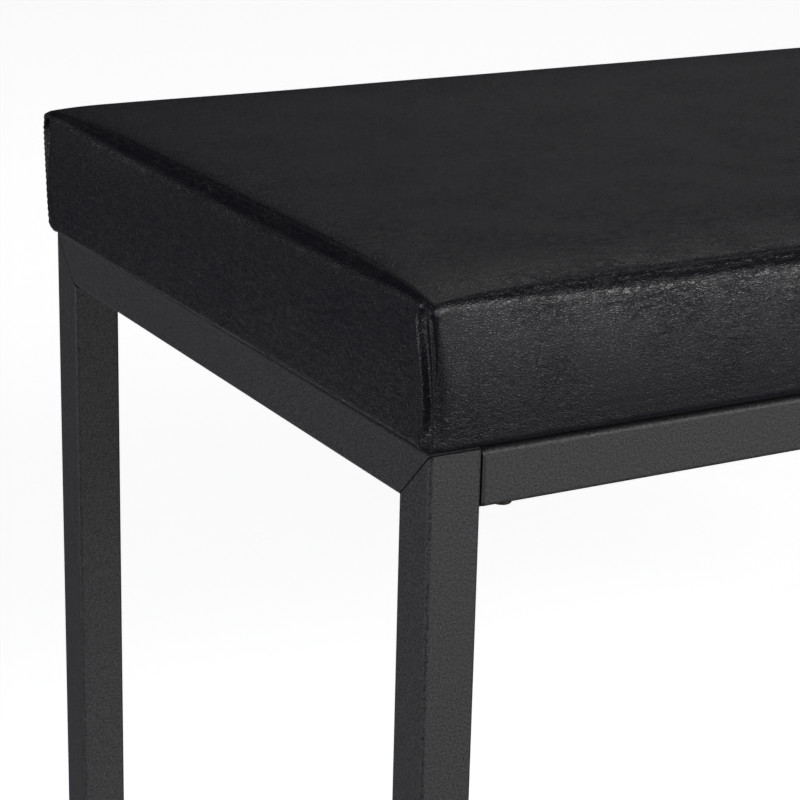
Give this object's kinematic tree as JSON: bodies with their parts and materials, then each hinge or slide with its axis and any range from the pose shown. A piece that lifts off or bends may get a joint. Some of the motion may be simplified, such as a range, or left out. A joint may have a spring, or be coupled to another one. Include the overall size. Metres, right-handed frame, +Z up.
{
  "type": "entryway bench",
  "caption": "Entryway bench: boxed black vinyl seat pad on a slim black square-tube frame with mitred ends, slip-on rails and screw-in levelling feet.",
  "frame": {"origin": "on the floor under the middle of the seat", "axes": "+X along the bench to the right, +Y towards its back, +Z up"},
  "size_m": [1.068, 0.412, 0.457],
  "materials": {
    "vinyl": "black faux leather, fine pebble grain, satin sheen",
    "foam": "open-cell upholstery foam",
    "plywood": "raw plywood",
    "dust_fabric": "black non-woven dust cover",
    "powder_coat": "dark charcoal powder coat, fine satin texture",
    "black_plastic": "matt moulded nylon",
    "zinc_steel": "bright zinc plate",
    "dark_screw": "black oxide, slightly brown"
  },
  "bodies": {
    "bench": {"seat_cover": "vinyl", "seat_foam": "foam", "seat_board": "plywood", "dust_cover": "dust_fabric", "hem_staples": "zinc_steel", "dust_cover_staples": "zinc_steel", "tee_nuts": "zinc_steel", "seat_screws": "dark_screw", "seat_spacers": "black_plastic", "left_end_rail": "powder_coat", "right_end_rail": "powder_coat", "front_rail": "powder_coat", "rear_rail": "powder_coat", "front_left_leg": "powder_coat", "rear_left_leg": "powder_coat", "front_right_leg": "powder_coat", "rear_right_leg": "powder_coat", "front_left_rail_stub": "powder_coat", "rear_left_rail_stub": "powder_coat", "front_right_rail_stub": "powder_coat", "rear_right_rail_stub": "powder_coat", "front_left_collar": "black_plastic", "rear_left_collar": "black_plastic", "front_right_collar": "black_plastic", "rear_right_collar": "black_plastic", "rail_screws": "dark_screw", "rail_weld_nuts": "zinc_steel", "front_left_foot_insert": "black_plastic", "rear_left_foot_insert": "black_plastic", "front_right_foot_insert": "black_plastic", "rear_right_foot_insert": "black_plastic", "foot_nuts": "zinc_steel"},
    "front_left_foot": {"front_left_foot_pad": "black_plastic"},
    "front_left_stud": {"front_left_foot_stud": "zinc_steel"},
    "rear_left_foot": {"rear_left_foot_pad": "black_plastic"},
    "rear_left_stud": {"rear_left_foot_stud": "zinc_steel"},
    "front_right_foot": {"front_right_foot_pad": "black_plastic"},
    "front_right_stud": {"front_right_foot_stud": "zinc_steel"},
    "rear_right_foot": {"rear_right_foot_pad": "black_plastic"},
    "rear_right_stud": {"rear_right_foot_stud": "zinc_steel"}
  },
  "joints": [
    {"name": "front_left_foot_rise", "type": "slide", "parent": "bench", "child": "front_left_foot", "axis": [0, 0, 1], "range_m": [0, 0.005]},
    {"name": "front_left_stud_turn", "type": "hinge", "parent": "front_left_foot", "child": "front_left_stud", "pos_m": [-0.5155, -0.1875, 0.009], "axis": [0, 0, 1], "range_deg": [0, 1440]},
    {"name": "rear_left_foot_rise", "type": "slide", "parent": "bench", "child": "rear_left_foot", "axis": [0, 0, 1], "range_m": [0, 0.005]},
    {"name": "rear_left_stud_turn", "type": "hinge", "parent": "rear_left_foot", "child": "rear_left_stud", "pos_m": [-0.5155, 0.1875, 0.009], "axis": [0, 0, 1], "range_deg": [0, 1440]},
    {"name": "front_right_foot_rise", "type": "slide", "parent": "bench", "child": "front_right_foot", "axis": [0, 0, 1], "range_m": [0, 0.005]},
    {"name": "front_right_stud_turn", "type": "hinge", "parent": "front_right_foot", "child": "front_right_stud", "pos_m": [0.5155, -0.1875, 0.009], "axis": [0, 0, 1], "range_deg": [0, 1440]},
    {"name": "rear_right_foot_rise", "type": "slide", "parent": "bench", "child": "rear_right_foot", "axis": [0, 0, 1], "range_m": [0, 0.005]},
    {"name": "rear_right_stud_turn", "type": "hinge", "parent": "rear_right_foot", "child": "rear_right_stud", "pos_m": [0.5155, 0.1875, 0.009], "axis": [0, 0, 1], "range_deg": [0, 1440]}
  ],
  "couplings": [
    {"joint": "front_left_foot_rise", "follows": "front_left_stud_turn", "m_per_rad": 0.0001989},
    {"joint": "rear_left_foot_rise", "follows": "rear_left_stud_turn", "m_per_rad": 0.0001989},
    {"joint": "front_right_foot_rise", "follows": "front_right_stud_turn", "m_per_rad": 0.0001989},
    {"joint": "rear_right_foot_rise", "follows": "rear_right_stud_turn", "m_per_rad": 0.0001989}
  ]
}
